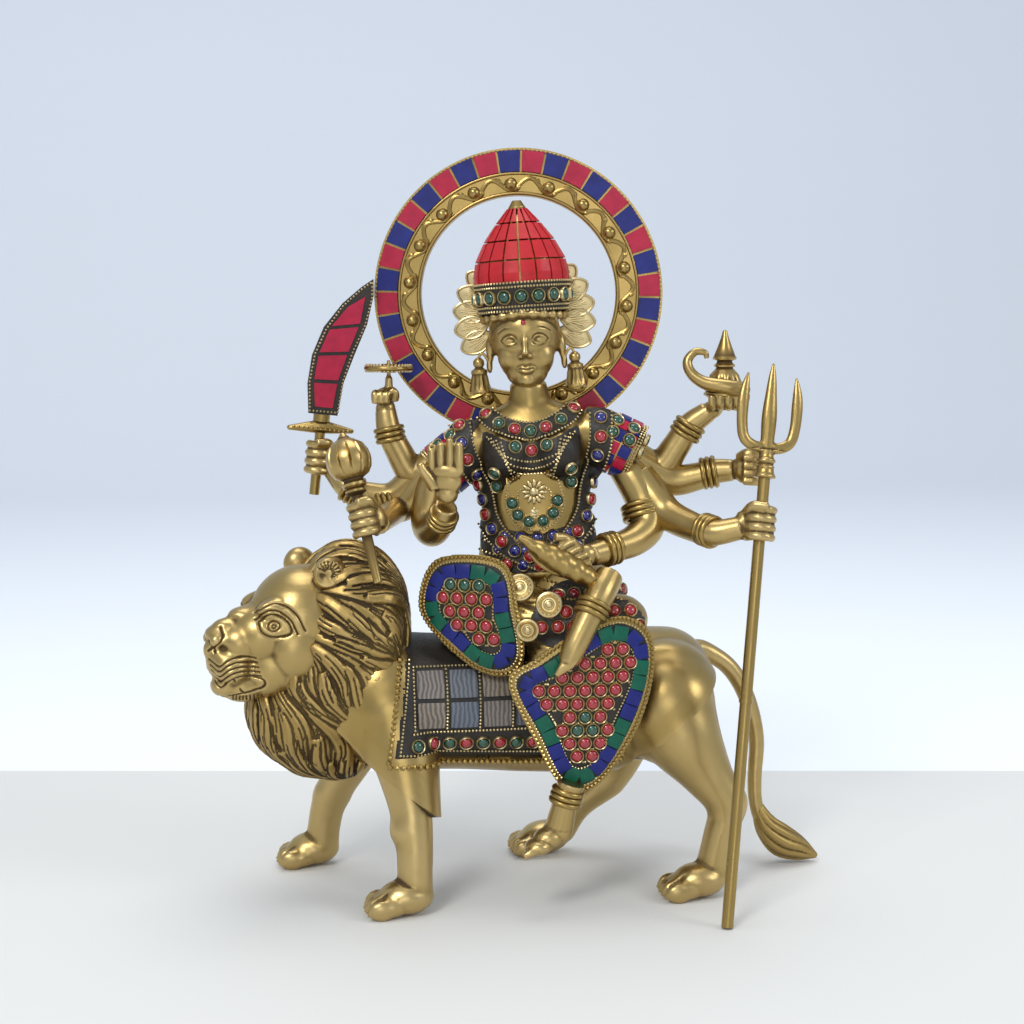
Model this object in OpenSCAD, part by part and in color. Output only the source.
// Brass temple statue: an eight-armed goddess seated on a walking lion.
// Lion frame: X along the lion (head towards -X), Y away from the viewer, Z up, millimetres.
// The figure frame is turned by figure_turn about Z, and its upper part leans by figure_lean.

/* [Lion] */
// Half width of the lion's body
body_half_w = 38; // [37:0.5:39]
// Turn of the lion's head towards the viewer, in degrees
head_turn = 18; // [14:1:22]
// Radius of the smooth tail at its root
tail_r = 5; // [4.5:0.25:5.5]
// Thickness of the saddle cloth
cloth_t = 3.2; // [2.8:0.2:3.6]
// Wall of the hollow casting
wall = 7; // [6:0.5:8]

/* [Figure] */
// Turn of the seated figure about the vertical, in degrees
figure_turn = -12; // [-13:0.5:-11]
// Sideways lean of the upper figure, in degrees
figure_lean = 3.8; // [3:0.2:4.4]
// Radius of the crown at its band
crown_r = 26; // [25:0.5:26.5]
// Height of the crown above its band
crown_h = 42; // [38:1:44]
// Number of petals behind the head
petals = 15; // [13:2:17]

/* [Halo] */
// Outer radius of the halo ring
halo_r = 80; // [78:0.5:81]
// Inner radius of the halo ring
halo_in = 54; // [53:0.5:55]
// Thickness of the halo ring
halo_t = 7; // [6:0.5:8]
// Number of inlaid tiles round the halo
halo_tiles = 36; // [32:4:40]

/* [Weapons] */
// Radius of the trident's shaft
trident_r = 3.1; // [2.9:0.1:3.3]
// Radius of the spinning disc
disc_r = 13.6; // [13:0.2:14]
// Radius of the mace's bulb
mace_r = 12; // [11.5:0.25:12.5]
// Radial clearance of a rod in its fist
rod_gap = 0.35; // [0.3:0.05:0.45]

/* [Stones] */
// Outer radius of a round bezel
bezel_r = 4; // [3.8:0.1:4.1]
// Radius of a round stone
stone_r = 2.9; // [2.7:0.1:3]

/* [Part] */
// Which part to draw

/* [Hidden] */
shift_x = 8.3;
shift_y = -21.29;
seat_z = 141;
back_z = 138;
brass = [0.72, 0.60, 0.34];
pale_brass = [0.80, 0.71, 0.50];
dark_brass = [0.50, 0.38, 0.18];
red = [0.72, 0.10, 0.26];
coral = [0.80, 0.20, 0.22];
blue = [0.08, 0.14, 0.52];
green = [0.02, 0.36, 0.28];
slab = [0.42, 0.37, 0.34];
ct = cos(figure_turn);
st = sin(figure_turn);

// Turns a point of the figure frame into the lion frame.
function lionpt(p) = [8 + p.x * ct - p.y * st, 4 + p.x * st + p.y * ct, p.z];

module placed() {
  translate([-shift_x, -shift_y, 0]) children();
}

module fig() {
  translate([8, 4, 0]) rotate([0, 0, figure_turn]) children();
}

// Upright frame of the upper figure, its origin on the lap, leaning sideways.
module up() {
  fig() translate([8.5, 0, 175]) rotate([0, -figure_lean, 0]) children();
}

module blob(p, r, f = 10) {
  translate(p) scale(r) sphere(r = 1, $fn = f);
}

module bone(p, q, a, b, f = 8) {
  hull() {
    translate(p) sphere(r = a, $fn = f);
    translate(q) sphere(r = b, $fn = f);
  }
}

module limb(pts, radii, f = 8) {
  for (i = [0 : len(pts) - 2]) bone(pts[i], pts[i + 1], radii[i], radii[i + 1], f);
}

// Stands its children's Z axis on the line from p to q, with the origin at p.
module along(p, q) {
  d = q - p;
  az = atan2(d.y, d.x);
  translate(p) rotate([0, acos(d.z / norm(d)), az]) rotate([0, 0, -az]) children();
}

module wire(major, minor) {
  rotate_extrude($fn = 48) translate([major, 0]) circle(r = minor, $fn = 16);
}

// ---------------------------------------------------------------- lion

trunk_pts = [[-80, 0, 106], [-36, 0, 104], [14, 0, 102], [60, 0, 101], [86, 0, 102]];
trunk_size = [
  [32, body_half_w - 4, 36],
  [32, body_half_w, back_z - 104],
  [32, body_half_w - 1, back_z - 102],
  [30, body_half_w - 2, back_z - 101],
  [25, body_half_w - 4, back_z - 103]
];

module trunk(g, f = 18) {
  for (i = [0 : 3]) hull() {
    blob(trunk_pts[i], trunk_size[i] + [g, g, g], f);
    blob(trunk_pts[i + 1], trunk_size[i + 1] + [g, g, g], f);
  }
}

// The trunk swept straight down, so that what hangs outside it can lift off.
module trunk_swept(g) {
  for (i = [0 : 3]) hull() {
    blob(trunk_pts[i], trunk_size[i] + [g, g, g], 16);
    blob(trunk_pts[i + 1], trunk_size[i + 1] + [g, g, g], 16);
    blob(trunk_pts[i] - [0, 0, 70], trunk_size[i] + [g, g, g], 16);
    blob(trunk_pts[i + 1] - [0, 0, 70], trunk_size[i + 1] + [g, g, g], 16);
  }
}

module above_seat() {
  translate([-44, -60, seat_z]) cube([110, 120, 60]);
}

module socket_hole(r, z0, z1) {
  translate([10, 4, z0]) cylinder(r = r, h = z1 - z0, $fn = 32);
}

module lion_body() {
  color(pale_brass) difference() {
    trunk(0);
    trunk(-wall, 14);
    socket_hole(8.3, 100, 160);
  }
}

module head_frame() {
  translate([-115, -6, 153]) rotate([0, 0, head_turn]) children();
}

module head_core(g) {
  head_frame() {
    blob([0, 0, 1], [29 + g, 27 + g, 28 + g], 16);
    hull() {
      blob([-12, 0, -3], [20 + g, 22 + g, 20 + g], 16);
      blob([-37, 0, -11], [13 + g, 15.5 + g, 15 + g], 16);
    }
    hull() {
      blob([-6, 0, -22], [23 + g, 23 + g, 22 + g], 12);
      blob([-34, 0, -34], [10 + g, 11 + g, 9 + g], 12);
    }
  }
}

module lion_head() {
  color(pale_brass) difference() {
    union() {
      head_core(0);
      head_frame() {
        hull() {
          blob([-46, -4, -4], [6, 6, 4.6], 8);
          blob([-46, 4, -4], [6, 6, 4.6], 8);
          blob([-32, 0, 6], [8, 8, 4], 8);
        }
        for (s = [-1, 1]) {
          hull() {
            blob([-25, s * 14, 12], [7, 4, 3], 8);
            blob([-12, s * 21, 14], [8, 5, 3], 8);
          }
          hull() {
            blob([6, s * 20, 22], [7, 6, 5], 10);
            blob([9, s * 23, 33], [6, 4.5, 7.5], 10);
          }
        }
      }
    }
    trunk(0);
  }
}

mane_locks = 11;

module lion_mane() {
  color(dark_brass) difference() {
    union() {
      hull() {
        blob([-90, 0, 154], [32, 39, 42], 14);
        blob([-100, 0, 118], [36, 38, 38], 14);
      }
      hull() {
        blob([-90, 0, 154], [32, 39, 42], 14);
        blob([-76, 0, 148], [18, 38, 38], 14);
      }
      hull() {
        blob([-112, 0, 102], [34, 34, 32], 14);
        blob([-98, 0, 78], [22, 24, 14], 12);
      }
      for (i = [0 : mane_locks - 1]) {
        a = 180 + (i - (mane_locks - 1) / 2) * 20;
        if (abs(a - 180) > 70) hull() {
          blob([-92 + 26 * cos(a), 36 * sin(a), 166], [7, 8, 12], 6);
          blob([-98 + 34 * cos(a), 38 * sin(a), 120], [6, 8, 8], 6);
        }
        hull() {
          blob([-101 + 38 * cos(a), 37 * sin(a), 112], [6, 8, 8], 6);
          blob([-100 + 27 * cos(a), 27 * sin(a), 80], [5, 6, 8], 6);
        }
      }
    }
    trunk(0);
    head_core(0);
    translate([-52, -60, 60]) cube([60, 120, 120]);
  }
}

module paw(toe, heel, r) {
  hull() {
    blob(heel + [0, 0, r - 1.2], [r, r, r], 10);
    blob(toe + [0, 0, r - 3.2], [r, r + 2, r - 2], 10);
  }
}

module toes(c, f = 6) {
  for (i = [-1.5 : 1 : 1.5]) hull() {
    blob(c + [2 + abs(i), i * 6, 5], [5, 3.4, 6], f);
    blob(c + [-4 + abs(i), i * 6.4, 3.7], [4, 3.2, 4.5], f);
  }
}

module floor_cut() {
  translate([-300, -300, -50]) cube([600, 600, 50]);
}

module foreleg_near() {
  color(pale_brass) difference() {
    union() {
      limb([[-66, -26, 96], [-63, -37, 66], [-60, -43, 42], [-60, -46, 20]], [20, 13.5, 10.5, 10], 10);
      paw([-73, -47, 0], [-58, -46, 0], 11);
      toes([-80, -47, 0]);
    }
    trunk(0);
    floor_cut();
  }
}

module foreleg_far() {
  color(pale_brass) difference() {
    union() {
      limb([[-74, 24, 94], [-86, 36, 64], [-98, 43, 40], [-102, 45, 20]], [19, 13, 10.5, 10], 10);
      paw([-115, 46, 0], [-103, 45, 0], 11);
      toes([-121, 46, 0]);
    }
    trunk(0);
    floor_cut();
  }
}

module hindleg_near() {
  color(pale_brass) difference() {
    union() {
      limb([[84, -24, 98], [97, -35, 70], [112, -42, 47], [103, -45, 20]], [27, 17, 10.5, 10], 10);
      paw([87, -47, 0], [101, -46, 0], 11);
      toes([80, -47, 0]);
    }
    trunk(0);
    floor_cut();
  }
}

module hindleg_far() {
  color(pale_brass) difference() {
    union() {
      limb([[74, 22, 96], [70, 33, 66], [66, 38, 44], [36, 44, 20]], [25, 16, 11.5, 9.5], 10);
      paw([20, 45, 0], [33, 45, 0], 10.5);
      toes([12, 45, 0]);
    }
    trunk(0);
    floor_cut();
  }
}

tail_pts = [
  [100, 4, 124], [114, 9, 124], [128, 9, 114], [138, 8, 97], [143.5, 6, 74], [142, 3, 52],
  [142, 1, 38], [146, 0, 26]
];
tail_size = [6.5, tail_r, tail_r, 4.8, 4.5, 4.2, 4, 4];

module lion_tail() {
  color(brass) difference() {
    limb(tail_pts, tail_size, 10);
    trunk(0);
  }
}

module tail_tuft() {
  color(dark_brass) difference() {
    union() {
      for (s = [-1, 0, 1]) {
        hull() {
          blob([148, s * 2, 23], [5, 4, 5], 8);
          blob([157, s * 5, 14], [8, 5, 7], 8);
        }
        hull() {
          blob([157, s * 5, 14], [8, 5, 7], 8);
          blob([168, s * 4, 8], [7, 3.5, 5.5], 8);
        }
        hull() {
          blob([168, s * 4, 8], [7, 3.5, 5.5], 8);
          blob([180, s * 0.6, 2.8], [2, 1.6, 2], 8);
        }
      }
    }
    limb(tail_pts, tail_size, 8);
  }
}

cloth_outline = [[-68, 150], [-76, 76], [58, 70], [64, 150]];
cloth_inner = [[-59, 151], [-66.5, 85], [48.5, 79], [54.5, 151]];

module prism_through(pts) {
  translate([0, 90, 0]) rotate([90, 0, 0]) linear_extrude(height = 180) polygon(pts);
}

module saddle_cloth() {
  color(dark_brass) intersection() {
    difference() {
      trunk(cloth_t);
      trunk(0);
      above_seat();
      socket_hole(8.3, 100, 160);
    }
    prism_through(cloth_outline);
  }
}

module saddle_border() {
  color(brass) intersection() {
    difference() {
      trunk(cloth_t + 1.6);
      trunk(cloth_t);
      above_seat();
    }
    difference() {
      prism_through(cloth_outline);
      prism_through(cloth_inner);
    }
  }
}

module saddle_slabs() {
  color(slab) intersection() {
    difference() {
      trunk(cloth_t + 0.9);
      trunk(cloth_t);
    }
    union() {
      for (i = [0 : 5]) {
        for (j = [0 : 1]) {
          translate([-58 + i * 17.6, -90, 96 + j * 16]) cube([16.6, 180, 15]);
        }
      }
    }
  }
}

saddle_x = [-58, -49, -40, -31, -22, -13, -4, 5, 14, 23, 32, 41];

// Sets its children on both flanks, facing outwards, along the cloth's lower edge.
module saddle_row() {
  for (x = saddle_x) for (s = [-1, 1]) {
    translate([x, s * (body_half_w - 1.0 + cloth_t), 89]) rotate([s * -104, 0, 0]) children();
  }
}

module saddle_bezels() {
  color(pale_brass) saddle_row() translate([0, 0, -4]) cylinder(r = bezel_r, h = 5.4, $fn = 32);
}

module saddle_stones() {
  color(green) saddle_row() intersection() {
    translate([0, 0, -0.6]) sphere(r = stone_r, $fn = 32);
    cylinder(r = stone_r, h = 4, $fn = 32);
  }
}

// ---------------------------------------------------------------- skirt and feet

hang_outline = [
  [-8, 124], [6, 92], [18, 70], [28, 63.5], [42, 70], [60, 96], [69, 124], [68, 148],
  [52, 158], [28, 150], [6, 136]
];
fold_outline = [[-46, 186], [-57, 164], [-50, 148], [-26, 128], [-8, 124], [2, 134], [0, 160], [-10, 186]];

// Plate frames: local X and Y span the plate, local Z is its outward normal.
module hang_plate() {
  fig() translate([28, -54, 0]) rotate([0, 0, 8]) translate([-28, 0, 0]) rotate([90, 0, 0]) children();
}

module fold_plate() {
  fig() translate([-26, -43, 0]) rotate([0, 0, -16]) translate([26, 0, 0]) rotate([90, 0, 0]) children();
}

module skirt() {
  color(brass) difference() {
    union() {
      fig() {
        hull() {
          blob([8, 4, 166], [42, 28, 24]);
          blob([8, -2, 188], [32, 20, 10]);
        }
        hull() {
          blob([-8, 0, 164], [26, 24, 22]);
          blob([-40, -20, 166], [15, 15, 18]);
        }
        hull() {
          blob([-40, -20, 166], [15, 15, 18]);
          blob([-2, -38, 152], [18, 12, 16]);
        }
        hull() {
          blob([-46, -26, 150], [7, 6, 8]);
          blob([-26, -40, 134], [5, 5, 6]);
          blob([-4, -44, 130], [6, 5, 5]);
          blob([-4, -40, 152], [14, 8, 14]);
        }
        hull() {
          blob([26, -4, 164], [28, 22, 22]);
          blob([50, -32, 152], [18, 16, 15]);
        }
        hull() {
          blob([50, -32, 152], [18, 16, 15]);
          blob([38, -48, 104], [22, 7, 12]);
        }
        hull() {
          blob([6, -44, 134], [12, 6, 10]);
          blob([50, -40, 130], [17, 9, 14]);
          blob([30, -51, 74], [10, 4.5, 8]);
        }
        hull() {
          blob([-2, -36, 156], [22, 13, 14]);
          blob([32, -38, 152], [22, 13, 14]);
          blob([8, -10, 168], [30, 20, 16]);
        }
      }
    }
    trunk_swept(cloth_t + 1.9);
    translate([-60, -34, 60]) cube([140, 120, seat_z - 60]);
    hang_plate() translate([-60, 40, 0]) cube([160, 119, 40]);
    fold_plate() translate([-80, 100, 0]) cube([82, 70, 40]);
  }
  color(brass) socket_pin();
}

module socket_pin() {
  translate([10, 4, 126]) cylinder(r = 8, h = 18, $fn = 32);
}

module panel_hanging() {
  color(brass) difference() {
    hang_plate() linear_extrude(height = 4) polygon(hang_outline);
    fig() along([42, -49, 172], [24, -64, 128]) cylinder(r = 9, h = 46, $fn = 32);
  }
}

module panel_folded() {
  color(brass) fold_plate() linear_extrude(height = 3.6) polygon(fold_outline);
}

// Square mosaic tiles between two points; every other one is drawn.
module edge_tiles(p, q, n, k) {
  d = q - p;
  a = atan2(d.y, d.x);
  step = norm(d) / n;
  for (i = [0 : n - 1]) if (i % 2 == k) {
    translate([p.x, p.y, 0]) rotate([0, 0, a]) translate([(i + 0.5) * step, 0, 0])
      translate([-step / 2 + 0.5, -3, -1]) cube([step - 1, 6, 2]);
  }
}

module skirt_tiles(k) {
  hang_plate() translate([0, 0, 4]) {
    edge_tiles([-1, 124], [23.5, 72.5], 7, k);
    edge_tiles([33, 72], [56.5, 101], 5, k);
    edge_tiles([58, 105], [63.5, 145], 5, 1 - k);
  }
  fold_plate() translate([0, 0, 3.6]) {
    edge_tiles([-43, 183], [-51.5, 165], 3, k);
    edge_tiles([-50, 161], [-44, 149], 2, k);
    edge_tiles([-40, 144], [-12, 129.5], 4, k);
    edge_tiles([-7, 182], [-4, 138], 6, k);
  }
}

module skirt_tiles_blue() {
  color(blue) skirt_tiles(0);
}

module skirt_tiles_green() {
  color(green) skirt_tiles(1);
}

stone_pitch = 8.4;
hang_rows = [
  [142, 31, 4], [133.6, 27, 4], [125.2, 14, 5], [116.8, 9.5, 6], [108.4, 13.6, 5],
  [100, 17.2, 4], [91.6, 20, 3], [83.2, 24.5, 2]
];
fold_rows = [[176, -38, 3], [167, -42, 4], [158, -42, 4], [149, -37, 3], [140.4, -28.5, 2]];

// Setting of one round stone with its bezel, in a plate's own frame.
module stone_at(x, y, is_green, want) {
  if (is_green == want) translate([x, y, 0]) intersection() {
    sphere(r = stone_r, $fn = 32);
    translate([0, 0, -0.6]) cylinder(r = stone_r, h = 5, $fn = 32);
  }
}

module skirt_stones(want) {
  hang_plate() translate([0, 0, 4]) for (r = hang_rows) for (i = [0 : r[2] - 1]) {
    x = r[1] + i * stone_pitch;
    stone_at(x, r[0], norm([x - 27, r[0] - 112]) < 6.2, want);
  }
  fold_plate() translate([0, 0, 3.6]) for (r = fold_rows) for (i = [0 : r[2] - 1]) {
    stone_at(r[1] + i * stone_pitch, r[0], r[0] > 170, want);
  }
}

module skirt_stones_red() {
  color(red) skirt_stones(false);
}

module skirt_stones_green() {
  color(green) skirt_stones(true);
}

module rosette(r) {
  cylinder(r = r, h = 3, $fn = 48);
  translate([0, 0, 3]) wire(r - 1.2, 1.1);
  translate([0, 0, 3]) wire(r * 0.55, 0.9);
  translate([0, 0, 3]) cylinder(r = r * 0.28, h = 1.2, $fn = 32);
}

module lap_rosettes() {
  color(brass) {
    fig() translate([-1, -45.5, 171]) rotate([72, 0, -6]) rosette(7.6);
    fig() translate([14, -49.5, 163]) rotate([80, 0, 0]) rosette(7.2);
    fig() translate([3, -50.5, 150]) rotate([88, 0, -4]) rosette(6.4);
  }
}

module hanging_foot() {
  color(brass) fig() difference() {
    union() {
      limb([[26, -62.5, 72], [22, -62.5, 58], [20, -62, 48]], [7.5, 7, 8]);
      hull() {
        blob([20, -62, 45], [8, 8, 7], 12);
        blob([9, -68, 38], [8, 7, 4.5], 12);
      }
      for (i = [0 : 4]) hull() {
        blob([8 - i * 0.6, -74 + i * 3, 37 - i * 0.3], [2.6, 2.4, 2.6], 6);
        blob([2.5 + i * 0.8, -76 + i * 3.2, 35 - i * 0.2], [2.2, 1.8, 2], 6);
      }
    }
    translate([-20, -90, 63.4]) cube([80, 60, 40]);
  }
}

module folded_foot() {
  color(brass) fig() {
    limb([[41, -51, 170], [35, -56.5, 158], [28, -61.5, 144], [24, -63.5, 135]], [8, 7.4, 6.4, 5]);
    for (i = [0 : 4]) bone([22 + i * 1.6, -66, 134 + i * 0.8], [18.5 + i * 1.7, -67, 129 + i * 1.1], 2.2, 1.7, 6);
  }
}

// ---------------------------------------------------------------- torso

torso_z = [0, 26, 46, 62, 76, 86, 93, 104];
torso_x = [36, 31, 31, 34, 38, 24, 11, 10.5];
torso_y = [24, 19, 19, 22, 17, 13, 10.5, 10.5];

module torso_slice(i) {
  translate([0, 0, torso_z[i]]) scale([torso_x[i], torso_y[i], 1]) cylinder(r = 1, h = 0.5, $fn = 24);
}

// Depth of the torso's front at a height z and a sideways place x.
function torso_front(x, z) =
  let (i = z < 26 ? 0 : z < 46 ? 1 : z < 62 ? 2 : z < 76 ? 3 : z < 86 ? 4 : 5)
  let (t = (z - torso_z[i]) / (torso_z[i + 1] - torso_z[i]))
  let (rx = torso_x[i] + t * (torso_x[i + 1] - torso_x[i]), ry = torso_y[i] + t * (torso_y[i + 1] - torso_y[i]))
  -ry * sqrt(max(0.05, 1 - pow(x / rx, 2)));

module torso() {
  color(brass) difference() {
    union() {
      up() {
        for (i = [0 : 6]) hull() {
          torso_slice(i);
          torso_slice(i + 1);
        }
        for (s = [-1, 1]) hull() {
          blob([s * 14, -15, 64], [12.5, 12, 13], 14);
          blob([s * 14, -8, 72], [13, 10, 10], 14);
        }
        bone([30, 0, 74], [56, -1, 60], 15, 15.5, 14);
        bone([-30, 0, 72], [-50, -2, 58], 14, 14.5, 14);
      }
    }
    skirt_top();
    up() translate([-60, 17.6, 60]) cube([120, 40, 60]);
  }
}

// The lap's own hulls, used to seat the torso on it.
module skirt_top() {
  fig() hull() {
    blob([8, 4, 166], [42, 28, 24]);
    blob([8, -2, 188], [32, 20, 10]);
  }
}

stole_left = [
  [-38, -12, 83], [-36, -20, 66], [-28, -25, 48], [-25, -24, 30], [-16, -27, 16], [0, -30, 8]
];
stole_right = [[38, -12, 83], [37, -20, 66], [30, -25, 48], [26, -24, 30], [16, -27, 16], [4, -30, 8]];

module stole_band(pts) {
  for (i = [0 : 4]) hull() {
    blob(pts[i], [7, 3.4, 5], 10);
    blob(pts[i + 1], [7, 3.4, 5], 10);
  }
}

module stole() {
  color(dark_brass) difference() {
    union() {
      up() stole_band(stole_left);
      up() stole_band(stole_right);
    }
    torso();
    skirt_top();
    translate([-80, -80, 100]) cube([160, 160, 80]);
  }
}

function between(a, b, t) = a + t * (b - a);

// Round stones along the stole, every other one drawn.
module stole_stones(k) {
  up() for (side = [0, 1]) for (i = [0 : 4]) for (j = [0, 1]) {
    pts = side == 0 ? stole_left : stole_right;
    if ((i * 2 + j + side) % 2 == k && i * 2 + j < 9) {
      translate(between(pts[i], pts[i + 1], 0.25 + j * 0.5) + [0, -3.1, 0]) rotate([90, 0, 0])
        intersection() {
          sphere(r = stone_r, $fn = 32);
          translate([0, 0, -0.6]) cylinder(r = stone_r, h = 5, $fn = 32);
        }
    }
  }
}

module stole_stones_red() {
  color(red) {
    stole_stones(1);
    collar_stones(0);
  }
}

module stole_stones_blue() {
  color(blue) stole_stones(0);
}

collar_x = [-20, -12.5, -4.3, 4.3, 12.5, 20];
collar_z = [87, 82.5, 79.5, 79.5, 82.5, 87];

module collar_stones(k) {
  up() for (i = [0 : 5]) if (i % 2 == k) {
    translate([collar_x[i], torso_front(collar_x[i] * 0.9, 78) - 1.6, collar_z[i]]) rotate([90, 0, 0])
      cylinder(r = stone_r, h = 2.4, $fn = 32);
  }
}

module sleeve_stones() {
  up() {
    for (p = [[44, 74], [53, 68], [46, 65]]) {
      translate([p.x, -15.2, p.y]) rotate([90, 0, 6]) cylinder(r = stone_r, h = 2.2, $fn = 32);
    }
    for (p = [[-42, 73], [-50, 66]]) {
      translate([p.x, -15, p.y]) rotate([90, 0, -6]) cylinder(r = stone_r, h = 2.2, $fn = 32);
    }
  }
}

module stones_green() {
  color(green) {
    collar_stones(1);
    sleeve_stones();
    up() for (p = [[-14, 66], [-12, 56], [-8, 47], [8, 47], [12, 56]]) {
      translate([p.x, -25.5, p.y - 1]) rotate([90, 0, 0]) cylinder(r = stone_r, h = 3, $fn = 32);
    }
  }
}

module pendant() {
  color(brass) up() {
    translate([0, -25, 42]) rotate([90, 0, 0]) cylinder(r = 17, h = 1.6, $fn = 64);
    translate([0, -26.6, 60]) rotate([90, 0, 0]) {
      cylinder(r = 6, h = 2.2, $fn = 48);
      for (i = [0 : 11]) rotate([0, 0, i * 30]) translate([6.4, 0, 0]) cylinder(r = 2.2, h = 2, $fn = 24);
    }
    translate([0, -26.6, 34]) rotate([90, 45, 0]) cylinder(r = 5, h = 2, $fn = 4);
  }
}

module sleeve_tiles() {
  color(red) up() {
    for (i = [-1 : 1]) {
      along([34, 0, 72], [56, -1, 60]) rotate([0, 0, -60 + i * 34]) translate([14.4, -4, 15])
        cube([1.8, 8, 8]);
    }
    for (i = [-1 : 1]) {
      along([-34, 0, 69], [-50, -2, 58]) rotate([0, 0, -120 + i * 34]) translate([13.4, -4, 10]) cube([1.8, 8, 8]);
    }
  }
}

// ---------------------------------------------------------------- head and crown

module goddess_head() {
  color(brass) up() difference() {
    union() {
      hull() {
        blob([0, -2, 128], [20, 21, 22], 16);
        blob([0, -7, 114], [13, 13, 10], 16);
      }
      hull() {
        blob([0, -21, 124], [2, 2, 2], 10);
        blob([0, -24.4, 117], [3, 2.6, 2.4], 10);
      }
      for (s = [-1, 1]) {
        hull() {
          blob([s * 5, -19.5, 109.5], [3, 2.4, 1.8], 8);
          blob([0, -20.6, 110], [3, 2.6, 2.2], 8);
        }
        hull() {
          blob([s * 4, -20.5, 128], [2.6, 1.6, 1.2], 8);
          blob([s * 13, -16.4, 128], [2.4, 1.6, 1.2], 8);
        }
        hull() {
          blob([s * 20, 0, 124], [3, 4, 7], 10);
          blob([s * 21, 0, 114], [2.4, 3, 4], 10);
        }
      }
      blob([0, -17, 104], [5, 4.4, 4], 12);
    }
    translate([-40, -40, 141]) cube([80, 80, 40]);
    translate([0, 0, 80]) cylinder(r = 12, h = 24.5, $fn = 28);
  }
}

module petal(len, w) {
  translate([len, 0]) scale([1.5, 1]) circle(r = w, $fn = 24);
}

module petal_aureole() {
  color(brass) up() translate([0, 9, 139]) rotate([90, 0, 0]) difference() {
    union() {
      linear_extrude(height = 3) for (i = [0 : petals - 1]) {
        rotate([0, 0, 90 + (i - (petals - 1) / 2) * 16.4]) petal(30, 6.6);
      }
      linear_extrude(height = 3) circle(r = 30, $fn = 60);
      translate([0, 0, 3]) linear_extrude(height = 1.6) for (i = [0 : petals - 1]) {
        rotate([0, 0, 90 + (i - (petals - 1) / 2) * 16.4]) petal(28.5, 4.6);
      }
    }
    translate([0, -139, 9]) rotate([-90, 0, 0]) rotate_extrude($fn = 64) polygon([
      [0, 90], [24, 90], [24, 140.5], [crown_r, 156], [crown_r - 0.4, 162], [crown_r - 2, 170],
      [crown_r * 0.7, 180], [crown_r * 0.4, 190], [0, 199]
    ]);
    translate([-24, -60, -1]) cube([48, 56, 12]);
  }
}

module earring() {
  sphere(r = 3.2, $fn = 32);
  translate([0, 0, -5.6]) cylinder(r1 = 4.4, r2 = 2, h = 3.4, $fn = 32);
  translate([0, 0, -14.6]) cylinder(r1 = 5.4, r2 = 4.4, h = 9.2, $fn = 32);
  translate([0, 0, -15.6]) wire(4.6, 1);
}

module earrings() {
  color(brass) up() {
    translate([26.2, -2, 115]) earring();
    translate([-26.2, -2, 115]) earring();
  }
}

crown_z = 157;
crown_profile = [
  [crown_r, 0], [crown_r, crown_h * 0.12], [crown_r * 0.94, crown_h * 0.3],
  [crown_r * 0.73, crown_h * 0.55], [crown_r * 0.45, crown_h * 0.78], [crown_r * 0.14, crown_h]
];

module crown_shape(g) {
  rotate_extrude($fn = 72) polygon(concat(
    [[0, 0]], [for (p = crown_profile) [max(0.5, p.x - g), p.y - (p.y > crown_h * 0.9 ? g : 0)]],
    [[0, crown_h - g]]
  ));
}

module seam_grid() {
  for (i = [0 : 8]) rotate([0, 0, i * 20 + 10]) translate([-40, -0.5, -1]) cube([80, 1, crown_h + 2]);
  for (z = [0.27, 0.52, 0.75]) translate([0, 0, crown_h * z]) cylinder(r = 40, h = 0.9, $fn = 48);
}

module crown_core() {
  color(brass) up() translate([0, 0, crown_z]) {
    crown_shape(2.2);
    translate([0, 0, crown_h - 2.2]) cylinder(r1 = 5, r2 = 2.4, h = 4.4, $fn = 32);
  }
}

module crown_tiles() {
  color(coral) up() translate([0, 0, crown_z]) difference() {
    crown_shape(0);
    crown_shape(2.2);
    translate([0, 0, crown_h - 2.2]) cylinder(r = 8, h = 8, $fn = 32);
    seam_grid();
  }
}

module crown_band() {
  color(dark_brass) up() {
    translate([0, 0, 141]) cylinder(r1 = 24, r2 = crown_r + 0.4, h = 16, $fn = 64);
    translate([0, 0, 142.4]) wire(24.6, 1.4);
    translate([0, 0, 155.6]) wire(crown_r + 0.8, 1.4);
    for (i = [0 : 15]) rotate([0, 0, i * 22.5 + 90]) translate([22, 0, 149]) rotate([0, 90, 0])
      cylinder(r = 4.4, h = 4.8, $fn = 32);
  }
}

module crown_stones() {
  color(green) up() for (i = [0 : 15]) rotate([0, 0, i * 22.5 + 90]) translate([26.8, 0, 149])
    rotate([0, 90, 0]) intersection() {
      translate([0, 0, -1]) sphere(r = 3.4, $fn = 32);
      cylinder(r = 3.2, h = 4, $fn = 32);
    }
}

// ---------------------------------------------------------------- arms

shoulder_l = lionpt([-48, -4, 230]);
shoulder_r = lionpt([60, -4, 228]);

// Trident and mace lines, each from its lower end to its upper end.
tri_foot = [95.2, -98, 0];
tri_top = [131.3, -50, 287.5];
mace_low = [-77.7, -40, 175.8];
mace_top = [-92.6, -21, 246];
sword_low = [-105.6, 37, 215];
sword_top = [-100.6, 36, 262];
tri_axis = (tri_top - tri_foot) / norm(tri_top - tri_foot);
tri_grip = tri_foot + tri_axis * 210;
mace_axis = (mace_top - mace_low) / norm(mace_top - mace_low);
mace_grip = mace_low + mace_axis * 34;
sword_axis = (sword_top - sword_low) / norm(sword_top - sword_low);
sword_grip = sword_low + sword_axis * 21;

module rod_hole(p, axis, r) {
  along(p - axis * 40, p + axis * 40) cylinder(r = r, h = 80, $fn = 24);
}

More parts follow.
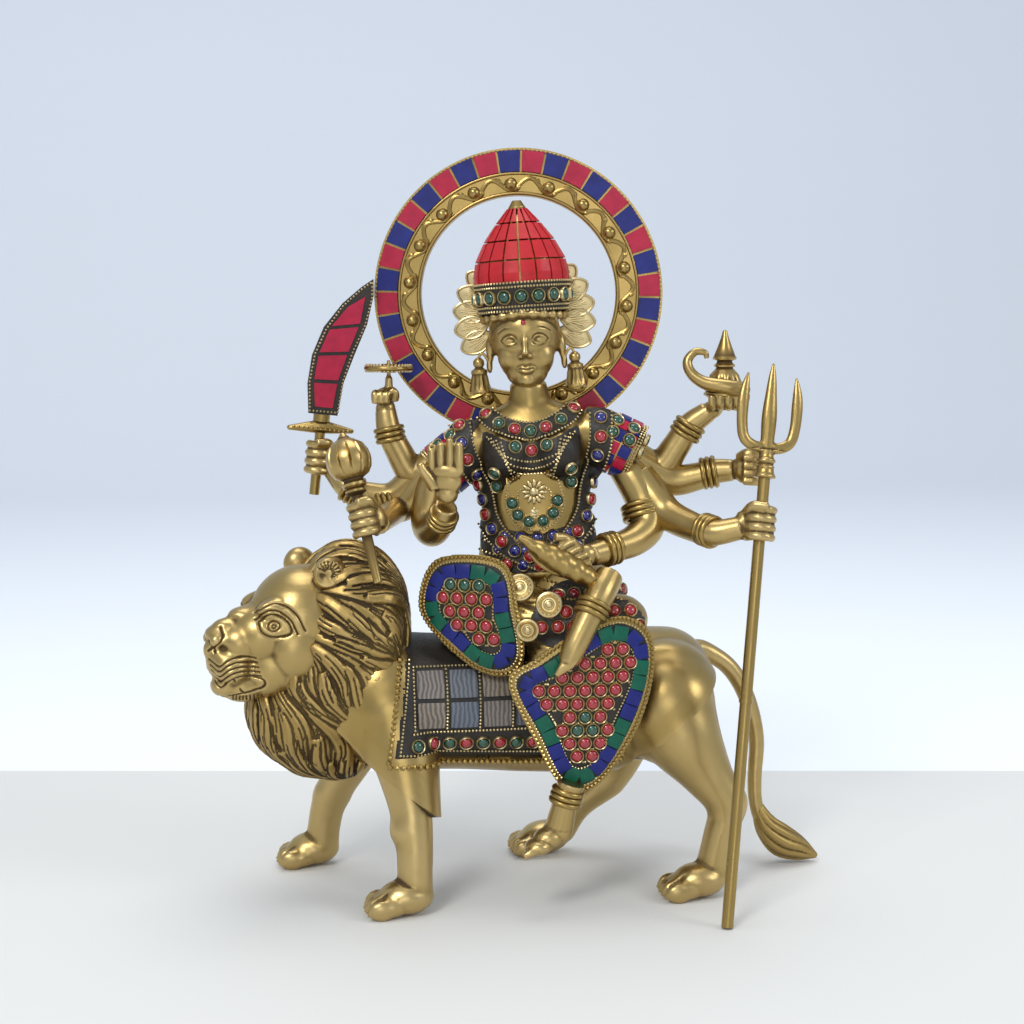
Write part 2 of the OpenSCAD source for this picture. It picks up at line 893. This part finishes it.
// Closed fist round a rod that runs along local Z. Fingers wrap the -Y side.
module fist(rr, side) {
  blob([side * (rr + 4), 2, 0], [6, 7, 9.5], 10);
  for (k = [-1.5 : 1 : 1.5]) {
    hull() {
      blob([side * (rr + 3), -3, k * 4.9], [3.2, 3, 2.8], 6);
      blob([-side * 0.5, -(rr + 3.4), k * 4.9], [3, 2.8, 2.7], 6);
      blob([-side * (rr + 2.4), -1.6, k * 4.7], [2.6, 2.6, 2.5], 6);
    }
  }
}

module open_hand() {
  hull() {
    blob([0, 0, 0], [6.5, 4.4, 6], 12);
    blob([0, -1, 13], [9.5, 3.8, 6], 12);
  }
  for (i = [-1.5 : 1 : 1.5]) bone([i * 4.7, -1, 16], [i * 4.9, -1.5, 31 - abs(i - 0.5) * 2.6], 2.7, 1.9, 6);
  bone([-8, -2, 6], [-12.5, -4, 17], 3.2, 2.3, 6);
}

module arm_palm() {
  color(brass) {
    limb([shoulder_l, lionpt([-53, -6, 200]), lionpt([-47, -22, 199])], [11, 9.5, 8]);
    bone(lionpt([-47, -22, 199]), lionpt([-41, -33, 212]), 8, 6, 12);
    fig() translate([-40.5, -36, 219]) rotate([4, 0, -8]) open_hand();
  }
}

module arm_mace() {
  color(brass) difference() {
    union() {
      limb([lionpt([-54, 2, 226]), lionpt([-66, 2, 210]), mace_grip + [8, 7, -3]], [9, 8.5, 6.5]);
      along(mace_grip, mace_grip + mace_axis) fist(2.8, 1);
    }
    rod_hole(mace_grip, mace_axis, 2.8 + rod_gap);
  }
}

module arm_sword() {
  color(brass) difference() {
    union() {
      limb([lionpt([-52, 4, 232]), lionpt([-74, 5, 214]), lionpt([-98, 2, 219]), sword_grip + [7, 2, -5]],
        [9, 8.5, 7.5, 6]);
      along(sword_grip, sword_grip + sword_axis) fist(2.8, 1);
    }
    rod_hole(sword_grip, sword_axis, 2.8 + rod_gap);
  }
}

disc_c = lionpt([-75, 2, 285.4]);

module arm_disc() {
  color(brass) {
    limb([lionpt([-48, 4, 236]), lionpt([-62, 4, 226]), lionpt([-75, 2, 250]), lionpt([-77, 3, 262])],
        [9, 8.5, 7, 6]);
    hull() {
      blob(lionpt([-77, 3, 262]), [6, 5, 6], 12);
      blob(lionpt([-77, 2, 270]), [6.5, 4.4, 5], 12);
    }
    for (i = [0 : 2]) bone(lionpt([-81 + i * 3.6, 0, 272]), lionpt([-82 + i * 3, -3.5, 266]), 2.4, 2, 6);
    bone(lionpt([-75, 2, 272]), lionpt([-75, 2, 280.5]), 2.6, 2.2, 10);
    translate(disc_c + [0, 0, -6]) cylinder(r = 1.2, h = 10.6, $fn = 24);
  }
}

module arm_conch() {
  color(brass) {
    limb([lionpt([62, -6, 222]), lionpt([67, -14, 199]), lionpt([50, -28, 191]), lionpt([36, -38, 188])],
        [10, 9.5, 8, 6.5]);
    hull() {
      blob(lionpt([33, -40, 188]), [6, 5, 6], 12);
      blob(lionpt([25, -43, 190]), [7, 5, 7], 12);
    }
    for (i = [0 : 3]) bone(lionpt([24 + i * 3.4, -46, 195 - i * 3.6]), lionpt([16 + i * 3.4, -52, 187 - i * 3.6]), 2.6, 2, 6);
    bone(lionpt([25, -44, 194]), lionpt([18, -50, 198]), 2.8, 2.2, 6);
  }
}

module arm_trident() {
  color(brass) difference() {
    union() {
      limb([lionpt([66, -4, 222]), lionpt([78, -14, 207]), lionpt([100, -38, 200]), tri_grip + [-9, 4, -3]],
        [9.5, 9, 7.5, 6.5]);
      along(tri_grip, tri_grip + tri_axis) rotate([0, 0, -8]) fist(trident_r, -1);
    }
    rod_hole(tri_grip, tri_axis, trident_r + rod_gap + 0.5);
  }
}

module arm_middle() {
  color(brass) {
    limb([lionpt([62, 2, 232]), lionpt([82, 4, 224]), lionpt([104, 2, 229]), lionpt([114, 0, 230])],
        [9.5, 9, 7.5, 6.5]);
    blob(lionpt([122, 0, 231]), [8, 7, 9], 12);
    for (i = [-1.5 : 1 : 1.5]) bone(lionpt([127, -3, 231 + i * 4.4]), lionpt([119, -8, 231 + i * 4.2]), 3, 2.6, 6);
    bone(lionpt([118, -4, 240]), lionpt([126, -6, 240]), 2.8, 2.4, 6);
  }
}

module arm_vessel() {
  color(brass) {
    limb([lionpt([58, 4, 238]), lionpt([74, 5, 230]), lionpt([90, 3, 254]), lionpt([100, 1, 262])],
        [9.5, 9, 7.5, 6.5]);
    hull() {
      blob(lionpt([102, 0, 263]), [6, 5, 5], 12);
      blob(lionpt([109, 0, 266]), [8, 7, 3.4], 12);
    }
    for (i = [0 : 3]) bone(lionpt([102 + i * 4.4, -6, 265]), lionpt([101 + i * 4.6, -8.6, 271]), 2.5, 2, 6);
  }
}

module bangle_set(p, q, r) {
  along(p, q) for (i = [-1 : 1]) translate([0, 0, i * 3]) wire(r, 1.5);
}

module bangles() {
  color(brass) {
    bangle_set(lionpt([-43.6, -28, 206]), lionpt([-41, -33, 212]), 7);
    bangle_set(lionpt([-78, 0, 208]), lionpt([-84, -2, 207]), 8.2);
    bangle_set(lionpt([-96, 2.2, 218.6]), lionpt([-100, 2.2, 221]), 7.6);
    bangle_set(lionpt([-74.6, 2, 249]), lionpt([-75.6, 2.2, 254]), 7.2);
    bangle_set(lionpt([46, -31, 190.3]), lionpt([42, -34, 189.6]), 7.8);
    bangle_set(lionpt([98, -35, 200.7]), lionpt([101, -39, 200]), 7.6);
    bangle_set(lionpt([101, 2.2, 228.4]), lionpt([106, 1.8, 229.4]), 7.6);
    bangle_set(lionpt([89, 3, 252]), lionpt([91, 2.8, 255.4]), 7.6);
    bangle_set(lionpt([23.6, -62.5, 63.6]), lionpt([22.6, -62.5, 60]), 7.4);
    bangle_set(lionpt([36.6, -55, 161.6]), lionpt([35.4, -56.2, 159]), 7.8);
    bangle_set(lionpt([64, -10, 208]), lionpt([64.6, -11.2, 205]), 10);
  }
}

conch_a = lionpt([-1, -53, 199]);
conch_b = lionpt([43, -47, 172]);

module conch() {
  color(brass) difference() {
    for (i = [0 : 8]) {
      t = i / 8;
      r = 2.2 + 7.6 * pow(sin(t * 150 + 8), 1.2);
      p = conch_a + t * (conch_b - conch_a);
      hull() {
        translate(p) sphere(r = r, $fn = 8);
        translate(p + (conch_b - conch_a) * 0.09) sphere(r = r * 0.72, $fn = 8);
      }
    }
    hang_plate() translate([-60, 60, 0]) cube([160, 100, 4.1]);
  }
}

module vessel() {
  color(brass) {
    translate(lionpt([108.5, 0, 269])) {
      cylinder(r1 = 8.5, r2 = 10.8, h = 4, $fn = 48);
      translate([0, 0, 4]) cylinder(r1 = 10.8, r2 = 8, h = 8, $fn = 48);
      translate([0, 0, 12]) cylinder(r1 = 8, r2 = 4, h = 6, $fn = 48);
      translate([0, 0, 18]) wire(4.4, 1.4);
      translate([0, 0, 18]) cylinder(r = 4, h = 3, $fn = 48);
      translate([0, 0, 21]) cylinder(r1 = 6.4, r2 = 1, h = 16.5, $fn = 48);
      translate([0, 0, 2]) wire(10, 1.5);
    }
    limb([
      lionpt([119, -8, 274]), lionpt([108, -10, 276]), lionpt([97, -9, 278]), lionpt([89, -7, 284]),
      lionpt([88, -6, 290]), lionpt([93, -5, 295]), lionpt([98, -5, 294])
    ], [4.4, 4.2, 3.6, 3.0, 2.6, 2.2, 1.8], 8);
  }
}

// ---------------------------------------------------------------- halo

module halo_frame() {
  up() translate([-3, 18.6 + halo_t, 151.4]) rotate([90, 0, 0]) children();
}

module halo_ring() {
  color(brass) halo_frame() {
    difference() {
      cylinder(r = halo_r, h = halo_t, $fn = 96);
      translate([0, 0, -1]) cylinder(r = halo_in, h = halo_t + 2, $fn = 96);
      translate([0, 0, halo_t - 2]) difference() {
        cylinder(r = halo_r - 1, h = 4, $fn = 96);
        translate([0, 0, -1]) cylinder(r = halo_r - 13.2, h = 6, $fn = 96);
      }
      for (s = [-1, 1]) translate([s * 9, -(halo_in + 10), -1]) cylinder(r = 1.6, h = halo_t + 2, $fn = 24);
    }
    translate([0, 0, halo_t]) wire(halo_r - 13.9, 0.9);
    translate([0, 0, halo_t]) wire(halo_in + 1.2, 1.1);
    for (i = [0 : 17]) rotate([0, 0, i * 20 + 10]) translate([halo_in + 6.4, 0, halo_t]) difference() {
      sphere(r = 3.6, $fn = 32);
      translate([-6, -6, -12]) cube([12, 12, 12]);
    }
  }
}

// Wedge-shaped inlaid tiles, every other one drawn, seated in the groove.
module halo_inlay(k) {
  a = 180 / halo_tiles - 0.45;
  ro = halo_r - 1.3;
  ri = halo_r - 12.8;
  halo_frame() translate([0, 0, halo_t - 2]) for (i = [0 : halo_tiles - 1]) if (i % 2 == k) {
    rotate([0, 0, i * 360 / halo_tiles]) linear_extrude(height = 2.8)
      polygon([[ri * cos(a), -ri * sin(a)], [ro * cos(a), -ro * sin(a)], [ro * cos(a), ro * sin(a)],
        [ri * cos(a), ri * sin(a)]]);
  }
}

module halo_tiles_red() {
  color(red) halo_inlay(0);
}

module halo_tiles_blue() {
  color(blue) halo_inlay(1);
}

module halo_screws() {
  color(dark_brass) halo_frame() for (s = [-1, 1]) translate([s * 9, -(halo_in + 10), 0]) {
    translate([0, 0, -2.4]) cylinder(r = 3.4, h = 2.4, $fn = 32);
    translate([0, 0, -0.1]) cylinder(r = 1.6, h = halo_t + 0.1, $fn = 24);
  }
}

// ---------------------------------------------------------------- weapons

module sword_frame() {
  along(sword_low, sword_top) children();
}

module sword_hilt() {
  color(brass) sword_frame() {
    cylinder(r = 2.8, h = 38, $fn = 32);
    translate([0, 0, 36]) hull() {
      blob([0, 0, 2], [6, 4.6, 4], 14);
      blob([-17, 0, 0], [1.6, 2.6, 1.4], 14);
      blob([17, 0, 1], [1.6, 2.6, 1.4], 14);
    }
    translate([0, 0, 41]) cylinder(r = 4.6, h = 4, $fn = 32);
  }
}

blade_outline = [
  [-8.5, 0], [-10.5, 16], [-9.5, 32], [-4.5, 48], [4.5, 62], [14, 72], [20, 77], [21, 68], [19, 52],
  [13.5, 34], [9, 18], [7.5, 0]
];
blade_cells = [
  [[-5.4, 4], [-7.2, 17], [5.6, 17.6], [4.4, 4]],
  [[-7.2, 19], [-6.2, 32], [9.6, 34], [5.9, 19.6]],
  [[-5.8, 34], [-1.4, 47], [14.4, 50], [10.1, 36]],
  [[-0.4, 49], [7.4, 60.4], [16.4, 67], [15, 52]]
];

module blade_frame() {
  sword_frame() translate([1, 0, 45]) rotate([90, 0, 0]) children();
}

module sword_blade() {
  color(dark_brass) blade_frame() translate([0, 0, -2]) linear_extrude(height = 4) polygon(blade_outline);
}

module sword_tiles() {
  color(red) blade_frame() translate([0, 0, 1.6]) for (c = blade_cells) {
    linear_extrude(height = 1.2) polygon(c);
  }
}

mace_bulb = [
  [0, 46], [3, 47], [5.6, 50], [4.6, 51.2], [6.6, 52.6], [6.6, 53.8], [5.2, 55], [mace_r * 0.8, 58],
  [mace_r, 63], [mace_r, 68], [mace_r * 0.8, 74], [5, 77.4], [3.4, 78], [1.6, 81], [0, 81]
];

module mace() {
  color(brass) along(mace_low, mace_top) {
    cylinder(r1 = 2.3, r2 = 2.8, h = 20, $fn = 32);
    translate([0, 0, 20]) cylinder(r = 2.8, h = 30, $fn = 32);
    rotate_extrude($fn = 48) polygon(mace_bulb);
  }
}

module tri_frame() {
  along(tri_foot, tri_top) children();
}

module trident_shaft() {
  color(brass) tri_frame() {
    translate([0, 0, 0.7]) cylinder(r = trident_r, h = 233.3, $fn = 32);
    translate([0, 0, 116]) cylinder(r = trident_r + 0.5, h = 2, $fn = 32);
    translate([0, 0, 120]) cylinder(r = trident_r + 0.5, h = 2, $fn = 32);
  }
}

module prong(s) {
  limb([[0, 0, 16], [s * 8, 0, 17], [s * 14, 0, 24], [s * 14.6, 0, 40], [s * 13.6, 0, 54]],
    [3, 2.8, 2.8, 2.6, 1.2], 8);
}

module trident_head() {
  color(brass) tri_frame() translate([0, 0, 234]) {
    cylinder(r1 = 5.2, r2 = 4.6, h = 6, $fn = 20);
    translate([0, 0, 6]) cylinder(r = 4, h = 6, $fn = 20);
    translate([0, 0, 8]) cylinder(r = 5.2, h = 2, $fn = 20);
    cylinder(r = 5.8, h = 1.8, $fn = 20);
    limb([[0, 0, 10], [0, 0, 24], [0, 0, 44], [0, 0, 61]], [4, 4, 3, 1.2], 10);
    prong(-1);
    prong(1);
  }
}

module disc() {
  color(brass) translate(disc_c) difference() {
    union() {
      translate([0, 0, -1.4]) cylinder(r = disc_r - 1.4, h = 2.8, $fn = 64);
      wire(disc_r - 1.4, 1.4);
      translate([0, 0, -2.4]) cylinder(r = 4, h = 4.8, $fn = 32);
    }
    translate([0, 0, -5]) cylinder(r = 1.25, h = 10, $fn = 24);
  }
}

// ---------------------------------------------------------------- nodes

placed() {
  lion_body();
  lion_mane();
  lion_head();
  foreleg_near();
  foreleg_far();
  hindleg_near();
  hindleg_far();
  lion_tail();
  tail_tuft();
  saddle_cloth();
  saddle_border();
  saddle_slabs();
  saddle_bezels();
  saddle_stones();
  skirt();
  panel_hanging();
  panel_folded();
  skirt_tiles_blue();
  skirt_tiles_green();
  skirt_stones_red();
  skirt_stones_green();
  lap_rosettes();
  hanging_foot();
  folded_foot();
  torso();
  stole();
  stole_stones_red();
  stole_stones_blue();
  stones_green();
  pendant();
  sleeve_tiles();
  goddess_head();
  petal_aureole();
  earrings();
  crown_core();
  crown_tiles();
  crown_band();
  crown_stones();
  arm_palm();
  arm_mace();
  arm_sword();
  arm_disc();
  arm_conch();
  arm_trident();
  arm_middle();
  arm_vessel();
  bangles();
  conch();
  vessel();
  halo_ring();
  halo_tiles_red();
  halo_tiles_blue();
  halo_screws();
  sword_hilt();
  sword_blade();
  sword_tiles();
  mace();
  trident_head();
  trident_shaft();
  disc();
}
